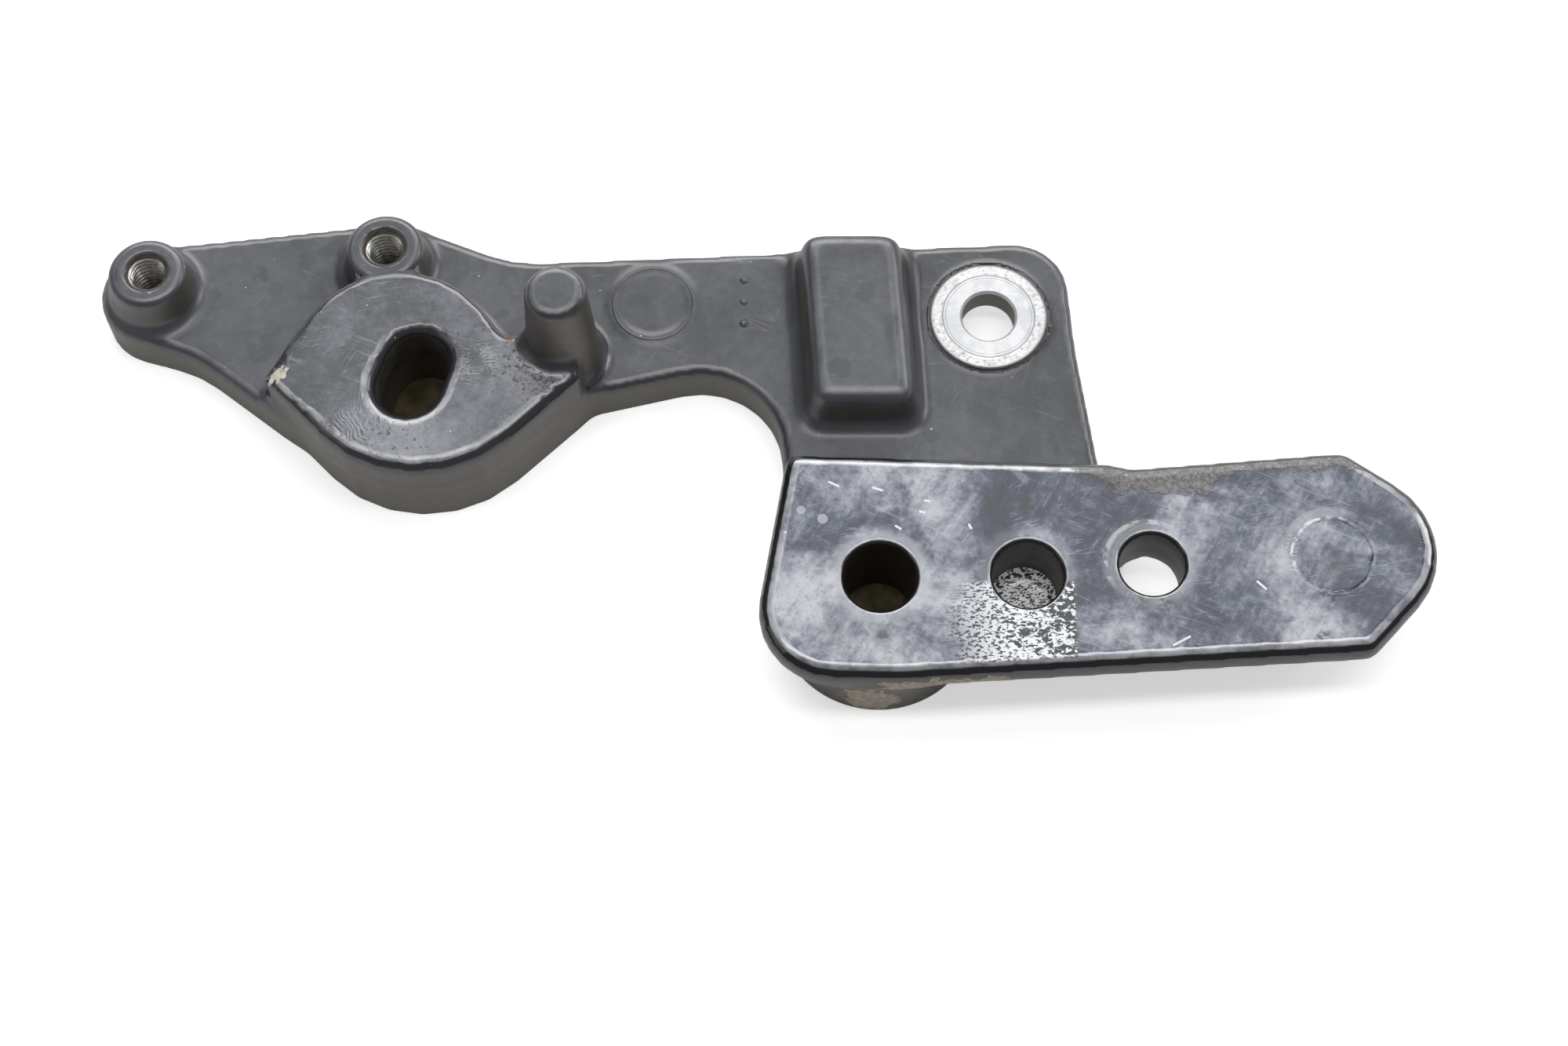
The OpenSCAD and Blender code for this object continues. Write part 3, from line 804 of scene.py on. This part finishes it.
def lay_hole_marks(f):
    """Halos that washers wore round the holes, and the arc and smudges at hole 3."""
    n = f.n
    for (x, y, radius), strength in zip(HOLES, (0.45, 0.15, 0.26)):
        out = n.math("SUBTRACT", n.distance(f.place, (x, y)), radius)
        uneven = n.plus(out, n.swing(n.noise(f.place, 0.5, 4), 3.0))
        f.lay(n.times(n.ramp(uneven, 4.2, 1.4), f.flat, strength), RUBBED_AND_HIGHLIGHT, 0.30)
    x, y = HOLES[2][:2]
    arc = n.within(n.distance(f.place, (x - 0.6, y + 0.4)), 8.2, 8.8, 0.35)
    broken = f.patchy(0.42, 0.56, 0.5, 4)
    f.lay(n.times(arc, f.upper_left((x, y), 8.0), broken, f.flat, 0.6), (0.66, 0.67, 0.70), 0.3)
    smudge = n.times(n.most(f.glow((x - 2.6, y - 8.3), 3.0), f.glow((x + 2.4, y - 8.8), 3.4)),
                     f.patchy(0.44, 0.58, 0.8, 4, 0.6), f.flat)
    f.lay(n.times(smudge, 1.2), (0.07, 0.068, 0.06), 0.4)


def lay_pressed_ring(f):
    """Ring pressed into the nose by a washer, with a pale crescent outside its upper left."""
    n = f.n
    x, y, radius = WITNESS
    warped = n.plus(n.distance(f.place, (x, y)), n.swing(n.noise(f.place, 0.3, 3), 1.2))
    off_ring = n.math("SUBTRACT", warped, radius)
    upper_left = f.upper_left((x, y), 9.0)
    crescent = n.within(off_ring, 0.3, 1.9, 0.5)
    f.lay(n.times(crescent, upper_left, f.flat, 0.45), (0.46, 0.48, 0.50), 0.34)
    line = n.ramp(n.math("ABSOLUTE", off_ring), 0.42, 0.12)
    strength = n.ramp(upper_left, 0.0, 1.0, 0.22, 0.95)
    broken = f.patchy(0.40, 0.56, 0.45, 4)
    f.lay(n.times(line, strength, broken, f.flat), (0.80, 0.81, 0.84), 0.3)
    near_ring = n.within(off_ring, -1.0, 1.2, 0.4)
    ticks = n.noise(n.stretched(f.place, 8, (1.6, 0.35, 1)), 1.0, 2)
    left = n.times(near_ring, n.ramp(f.x, x - 5.0, x - 7.0), n.ramp(ticks, 0.56, 0.64))
    f.lay(n.times(left, f.flat, 0.6), (0.68, 0.69, 0.72), 0.3)
    f.rise(n.ramp(n.math("ABSOLUTE", off_ring), 0.9, 0.2), -0.07)
    smudge = n.times(f.glow((88.6, 2.0), 4.2), f.patchy(0.38, 0.55, 0.6, 4))
    f.lay(n.times(smudge, f.flat, 0.7), (0.085, 0.075, 0.062), 0.4)
    for x, y, size in BAR_PITS:
        pit = n.times(f.spot((x, y, BAR), size, 0.2), f.flat, 0.9)
        f.lay(pit, (0.05, 0.05, 0.06), 0.4, height=-0.1)


def lay_cast_skin(f):
    """Rough cast skin along the bar's upper edge, widest left of the middle, brown with white
    flecks."""
    n = f.n
    uneven = n.swing(n.noise(f.place, 0.25, 5, 0.65), 9.0)
    dip = n.times(n.ramp(f.x, 38.0, 50.0), n.ramp(f.x, 74.0, 60.0))
    above = n.math("SUBTRACT", n.plus(f.y, uneven), n.ramp(dip, 0.0, 1.0, 22.2, 17.6))
    skin = n.times(n.ramp(above, 0.0, 0.7), n.ramp(f.x, 28.0, 46.0), n.ramp(f.up, 0.75, 0.93))
    rough = n.noise(f.place, 1.1, 5, 0.75)
    brown = n.mix(n.ramp(rough, 0.38, 0.62), (0.035, 0.031, 0.027), (0.22, 0.20, 0.18))
    f.lay(n.times(skin, 0.8), brown, 0.5)
    flecks = f.patchy(0.64, 0.69, 1.7, 3, 0.6)
    f.lay(n.times(skin, flecks, 0.8), (0.72, 0.71, 0.70), 0.4)
    f.rise(skin, rough, 0.22)


def lay_lamp_reflection_patch(f):
    """Painted reflection of a lamp in the orange-peel paint below hole 2 and on its floor: bright
    specks between black islands. The islands are fine on the left and grow to the right, where the
    patch ends straight."""
    n = f.n
    uneven = n.swing(n.noise(f.place, 0.45, 4, 0.6), 9.0)
    from_left = n.plus(f.x, uneven, n.times(n.math("ABSOLUTE", n.plus(f.y, 10.0)), -0.35))
    from_top = n.plus(f.y, n.times(uneven, 0.15))
    right_edge = n.ramp(n.plus(f.x, n.times(uneven, 0.05)), 37.6, 37.2)
    area = n.times(n.ramp(from_left, 9.5, 17.0), right_edge, n.ramp(from_top, -0.6, -1.6), f.flat)
    in_hole = n.math("LESS_THAN", n.distance(f.place, HOLES[1][:2]), HOLES[1][2] + 0.3)
    floor = n.times(in_hole, n.within(f.z, 4.0, 8.0, 0.1))
    fine = n.noise(n.stretched(f.place, 8, (0.90, 0.50, 1)), 1.0, 2, 0.55, 0.5)
    coarse = n.noise(n.stretched(f.place, -14, (1.9, 1.15, 1.5)), 1.0, 2.5, 0.6, 0.8)
    small = n.ramp(fine, n.ramp(f.x, 14.0, 36.0, 0.465, 0.425), n.ramp(f.x, 14.0, 36.0, 0.445, 0.405))
    large = n.ramp(coarse, n.ramp(f.x, 16.0, 37.0, 0.36, 0.53), n.ramp(f.x, 16.0, 37.0, 0.34, 0.51))
    dots = n.times(n.ramp(fine, 0.60, 0.64), n.ramp(f.x, 28.0, 34.0))
    island = n.times(n.most(small, large), n.math("SUBTRACT", 1.0, dots))
    reflected_specks = n.math("SUBTRACT", 1.0, island)
    # Painted reflection: the lamp's bright specks between dark islands
    bright = n.times(area, reflected_specks, n.ramp(f.x, 13.0, 26.0, 0.45, 1.0))
    f.lay(bright, (0.93, 0.94, 0.97), 0.25, height=0.05)
    dark = n.times(area, island, n.ramp(f.x, 13.0, 22.0, 0.75, 1.0))
    f.lay(dark, (0.010, 0.012, 0.016), 0.15)
    # Painted reflection of the lamp on the floor of hole 2
    on_floor = n.ramp(fine, 0.49, 0.47)
    f.lay(floor, n.mix(on_floor, (0.95, 0.95, 0.94), (0.012, 0.012, 0.012)), 0.3)


def lay_bare_edge(f):
    """Paint worn through in a ragged strip under the bar's lower edge, and in one patch on
    the boss behind hole 1."""
    n = f.n
    ragged = n.swing(n.noise(f.place, 0.35, 5, 0.65), 7.0)
    along = n.within(n.plus(f.x, n.times(ragged, 2.0)), 0.0, 24.0, 0.6)
    level = n.within(n.plus(f.z, ragged), 13.6, 17.2, 0.3)
    strip = n.times(n.ramp(f.y, -18.5, -19.5), along, level, n.ramp(f.up, 0.85, 0.7))
    off_patch = n.plus(n.distance(f.place, BARE_PATCH), n.times(ragged, 1.3))
    patch = n.times(n.ramp(off_patch, 5.6, 5.2), f.wall)
    shade = n.mix(f.patchy(0.35, 0.65, 0.9, 4, 0.65), (0.27, 0.215, 0.16), OLD_BARE)
    f.lay(n.most(strip, patch), shade, 0.55, height=-0.06)


def make_bar_paint():
    """Polished black of the bar under haze, with a painted reflection, painted highlights and all its
    marks.
    """
    f = Finish("black_paint_bar", BLACK, 0.12)
    n = f.n
    lay_bar_haze(f)
    lay_walls(f)
    # Painted highlight: a pale band on the upper part of the bar's rounded edges, stronger towards its
    # lower edge
    rim_highlight = n.times(f.rims("Highlight"), n.ramp(f.z, 15.0, 17.0))
    f.lay(n.times(rim_highlight, n.ramp(f.y, -22.0, -12.0, 0.40, 0.75)), RUBBED_AND_HIGHLIGHT, 0.18)
    lay_hole_marks(f)
    lay_pressed_ring(f)
    lay_cast_skin(f)
    for x, y, radius in BAR_SPOTS:
        f.lay(n.times(f.spot((x, y, BAR), radius, 0.25), f.flat, 0.55), (0.60, 0.62, 0.67), 0.4)
    for start, end in BAR_STROKES:
        f.lay(f.stroke(start, end, 0.32), (0.85, 0.86, 0.88), 0.35)
    f.lay(n.times(f.stroke((26.0, 23.6), (28.6, 20.4), 1.1), 0.22), (0.55, 0.56, 0.60), 0.3, height=0.2)
    f.lay(n.times(f.group(SCRATCHES, Amount=0.7), f.flat, 0.32), (0.46, 0.48, 0.55), 0.3, height=-0.004)
    lay_lamp_reflection_patch(f)
    lay_bare_edge(f)
    f.rise(f.group(GRAIN, Peel=0.006, Wave=0.05))
    return f.done()


def make_machined():
    """Faced aluminium of the ring: fine turned circles, a double step line, and a pitted
    zone that sparkles outside it."""
    f = Finish("machined_aluminium", (0.62, 0.62, 0.63), 0.40, 0.5)
    n = f.n
    out = n.distance(f.place, RING[:2])
    circles = n.math("SINE", n.times(out, 2 * math.pi / 0.55))
    cloud = n.noise(f.place, 0.22, 6, 0.7)
    f.lay(n.ramp(cloud, 0.42, 0.62, 0.0, 0.8), (0.80, 0.80, 0.81), 0.36)
    f.lay(n.times(n.ramp(circles, 0.0, 1.0), 0.2), (0.78, 0.78, 0.79), 0.34)
    outer = n.ramp(out, 9.5, 9.8)
    grit = n.noise(f.place, 1.2, 5, 0.72)
    f.lay(n.times(outer, n.ramp(grit, 0.54, 0.64)), (0.94, 0.93, 0.90), 0.45)
    f.lay(n.times(outer, n.ramp(grit, 0.46, 0.38), 0.7), (0.24, 0.24, 0.23), 0.5)
    for radius, dark in ((9.4, 0.8), (8.8, 0.4)):
        step = n.ramp(n.math("ABSOLUTE", n.math("SUBTRACT", out, radius)), 0.20, 0.06)
        f.lay(n.times(step, dark), (0.22, 0.22, 0.23), 0.5, height=-0.05)
    worn = n.ramp(n.plus(out, n.times(grit, 1.2)), 11.9, 12.4)
    f.lay(n.times(worn, 0.8), (0.16, 0.157, 0.15), 0.6)
    f.lay(f.wall, (0.20, 0.19, 0.17), 0.5)
    f.rise(circles, 0.010)
    f.rise(outer, grit, 0.12)
    return f.done()


def make_thread_metal():
    """Cut thread: bright crests, with old oil in the roots and painted shade deeper down the bore."""
    f = Finish("cut_thread", (0.70, 0.69, 0.66), 0.30, 1.0)
    n = f.n
    near = n.math("MINIMUM", n.distance(f.place, BOSSES[0]), n.distance(f.place, BOSSES[1]))
    f.lay(n.ramp(near, 3.65, 3.95), (0.10, 0.085, 0.06), 0.5, 0.6)
    f.lay(n.times(f.patchy(0.5, 0.7, 0.8, 4), 0.5), (0.20, 0.16, 0.10), 0.5)
    # Painted shade: darker deeper down the bore
    f.lay(n.ramp(f.z, 15.0, 5.0, 0.0, 0.7), (0.05, 0.04, 0.03), 0.6)
    return f.done()


def finish_regions(piece):
    """Each face of the casting takes the paint of the part of the casting that it is on. The
    bar's paint goes round its lower end and over its face, and the pad's ends at the feet of
    the post and the right boss."""
    mesh = piece.data
    centres = np.empty(len(mesh.polygons) * 3)
    mesh.polygons.foreach_get("center", centres)
    centres = centres.reshape(-1, 3) * 1000
    x, y, z = centres.T
    above = z > PLATE + 0.6
    bar = ((x > -25) & (y < 9)) | (above & (x > -21.5) & (y < 28.5))
    off_post = from_axis(centres, POST_PLACE)[0] > POST_FOOT
    off_boss = from_axis(centres, BOSSES[1])[0] > BOSS_FOOT
    pad = above & (x > -124) & (x < -52) & (y < 69) & off_post & off_boss
    mesh.polygons.foreach_set("material_index", np.where(bar, 2, np.where(pad, 1, 0)))


def make_casting():
    """The casting, shaped, thinned and painted."""
    piece = new_piece("bracket_casting", *rounded_casting())
    coordinates = np.empty(len(piece.data.vertices) * 3)
    piece.data.vertices.foreach_get("co", coordinates)
    coordinates = coordinates.reshape(-1, 3) * 1000
    shape_casting(coordinates)
    piece.data.vertices.foreach_set("co", (coordinates / 1000).ravel())
    cut_back(piece)
    thinned(piece, MOST_TRIANGLES)
    shaded(piece)
    for paint in (make_plate_paint(), make_pad_paint(), make_bar_paint()):
        piece.data.materials.append(paint)
    finish_regions(piece)
    return piece


def make_ring():
    """Machined ring of the ear. Its profile goes round from the back end of its bore."""
    bore, rim = RING_BORE, RING[2]
    profile = ((bore, RING_BACK), (rim - 1.6, RING_BACK), (rim, PLATE - 0.8),
               (rim, RING_FACE - 0.25), (rim - 0.25, RING_FACE), (bore + 0.5, RING_FACE),
               (bore, RING_FACE - 0.5))
    piece = turned("bracket_machined_ring", RING, *zip(*profile), segments=128)
    piece.data.materials.append(make_machined())
    return piece


def make_threads():
    """Cut threads of the two bosses."""
    metal = make_thread_metal()
    names = ("bracket_thread_left", "bracket_thread_right")
    pieces = [thread(name, place) for name, place in zip(names, BOSSES)]
    for piece in pieces:
        piece.data.materials.append(metal)
    return pieces


def make_mark():
    """Plain raised ring on the plate. Its height across the line, from -1 to 1, goes by the
    square of the cosine."""
    across = np.linspace(-1, 1, 13)[::-1]
    top = PLATE - MARK_SUNK + MARK_RISE * np.cos(across * math.pi / 2) ** 2
    radii = np.concatenate([MARK_RADIUS + across, [MARK_RADIUS - 1, MARK_RADIUS + 1]])
    heights = np.concatenate([top, [PLATE - MARK_FOOT, PLATE - MARK_FOOT]])
    return turned("bracket_cast_ring", MARK_CENTRE, radii, heights)


# Round patches of painted shade on the floor, under hole 1 and the slot
PAINTED_SHADE_SPOTS = ((HOLES[0][:2], 7.6), (SLOT, 13.0))
# Middle of the part, and the camera's place, lens and tilt from straight above in degrees
MIDDLE_M = (-0.025, 0.03, 0.01)
CAMERA_M, CAMERA_LENS, CAMERA_TILT = (-0.0185, -0.2130, 0.5236), 65.2, 24
# Lamps: name, direction, distance and size in metres, radiance and colour
LAMPS = (
    ("softbox_above", (0.0, 0.42, 0.91), 1.15, (1.1, 0.5), 1.4, (0.94, 0.97, 1.0)),
    ("strip_overhead", (0.0, -0.04, 1.0), 1.15, (1.4, 0.2), 6.5, (1, 1, 1)),
    ("strip_behind", (0.0, 0.86, 0.51), 1.15, (1.3, 0.3), 6.5, (1, 1, 1)),
    ("strip_right", (0.80, 0.38, 0.47), 1.15, (0.5, 0.3), 5.0, (1, 1, 1)),
    ("fill_left", (-0.9, -0.2, 0.55), 1.2, (0.5, 0.5), 0.6, (1, 1, 1)))


def make_floor():
    """Near-white floor. The camera and reflections see it a little brighter, which brings it to white
    and keeps the part's shadow. Under hole 1 and the slot it has patches of painted shade: dark brown,
    and not brightened."""
    material = bpy.data.materials.new("pale_floor")
    material.use_nodes = True
    n = Nodes(material.node_tree)
    shader = material.node_tree.nodes["Principled BSDF"]
    shader.inputs["Roughness"].default_value = 0.9
    shader.inputs["Specular IOR Level"].default_value = 0.1
    place = n.scaled(n.add("TexCoord", out="Object"), 1000.0)
    # Painted shade under hole 1 and the slot: a dark brown colour there, and no brightening for the
    # camera or reflections
    under = n.most(*(n.ramp(n.distance(place, centre), radius + 0.6, radius)
                     for centre, radius in PAINTED_SHADE_SPOTS))
    mottle = n.ramp(n.noise(place, 0.25, 4), 0.35, 0.65)
    painted_shade_colour = n.mix(mottle, (0.05, 0.042, 0.022), (0.10, 0.085, 0.05))
    n.feed(shader.inputs["Base Color"], n.mix(under, (0.86, 0.86, 0.86), painted_shade_colour))
    seen = n.plus(n.times(n.add("LightPath", out="Is Camera Ray"), 0.55),
                  n.times(n.add("LightPath", out="Is Glossy Ray"), 0.15))
    shader.inputs["Emission Color"].default_value = (1, 1, 1, 1)
    n.feed(shader.inputs["Emission Strength"], n.times(seen, n.math("SUBTRACT", 1.0, under)))
    bpy.ops.mesh.primitive_plane_add(size=8.0)
    floor = bpy.context.object
    floor.name = "floor"
    floor.data.materials.append(material)


def make_world():
    """Even pale surroundings, white where the camera sees them."""
    world = bpy.data.worlds.new("studio")
    bpy.context.scene.world = world
    world.use_nodes = True
    n = Nodes(world.node_tree)
    background = world.node_tree.nodes["Background"]
    background.inputs["Color"].default_value = (1.0, 1.0, 1.0, 1)
    n.feed(background.inputs["Strength"], n.blend(n.add("LightPath", out="Is Camera Ray"), 0.15, 1.0))


def soft_box(name, direction, distance_m, size_m, radiance, colour):
    """A flat lamp in a direction from the part's middle, turned to face it. Its power is
    pi times its area times the radiance that it shows."""
    away = np.array(direction, float) / np.linalg.norm(direction)
    lamp = bpy.data.lights.new(name, "AREA")
    lamp.shape = "RECTANGLE"
    lamp.size, lamp.size_y = size_m
    lamp.energy = radiance * math.pi * size_m[0] * size_m[1]
    lamp.color = colour
    holder = bpy.data.objects.new(name, lamp)
    holder.location = np.array(MIDDLE_M) + away * distance_m
    holder.rotation_euler = Vector(away.tolist()).to_track_quat("Z", "Y").to_euler()
    bpy.context.scene.collection.objects.link(holder)


def make_camera():
    """The photograph's viewpoint, tilted from straight above towards the near side."""
    lens = bpy.data.cameras.new("camera")
    lens.lens, lens.sensor_width = CAMERA_LENS, 36.0
    camera = bpy.data.objects.new("camera", lens)
    camera.location = CAMERA_M
    camera.rotation_euler = (math.radians(CAMERA_TILT), 0, 0)
    bpy.context.scene.collection.objects.link(camera)
    bpy.context.scene.camera = camera


casting = make_casting()
ring = make_ring()
threads = make_threads()
mark = make_mark()
pips = dome("bracket_cast_pips", PIPS, PIP_RADIUS, PIP_RISE, PLATE - MARK_SUNK)
for piece in (mark, pips):
    piece.data.materials.append(casting.data.materials[0])
for piece in (ring, *threads, mark, pips):
    shaded(piece)

for piece in (casting, ring, *threads, mark, pips):
    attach(piece, "root")
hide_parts("bracket")

make_floor()
make_world()
for lamp in LAMPS:
    soft_box(*lamp)
make_camera()
bpy.context.scene.view_settings.view_transform = "Standard"
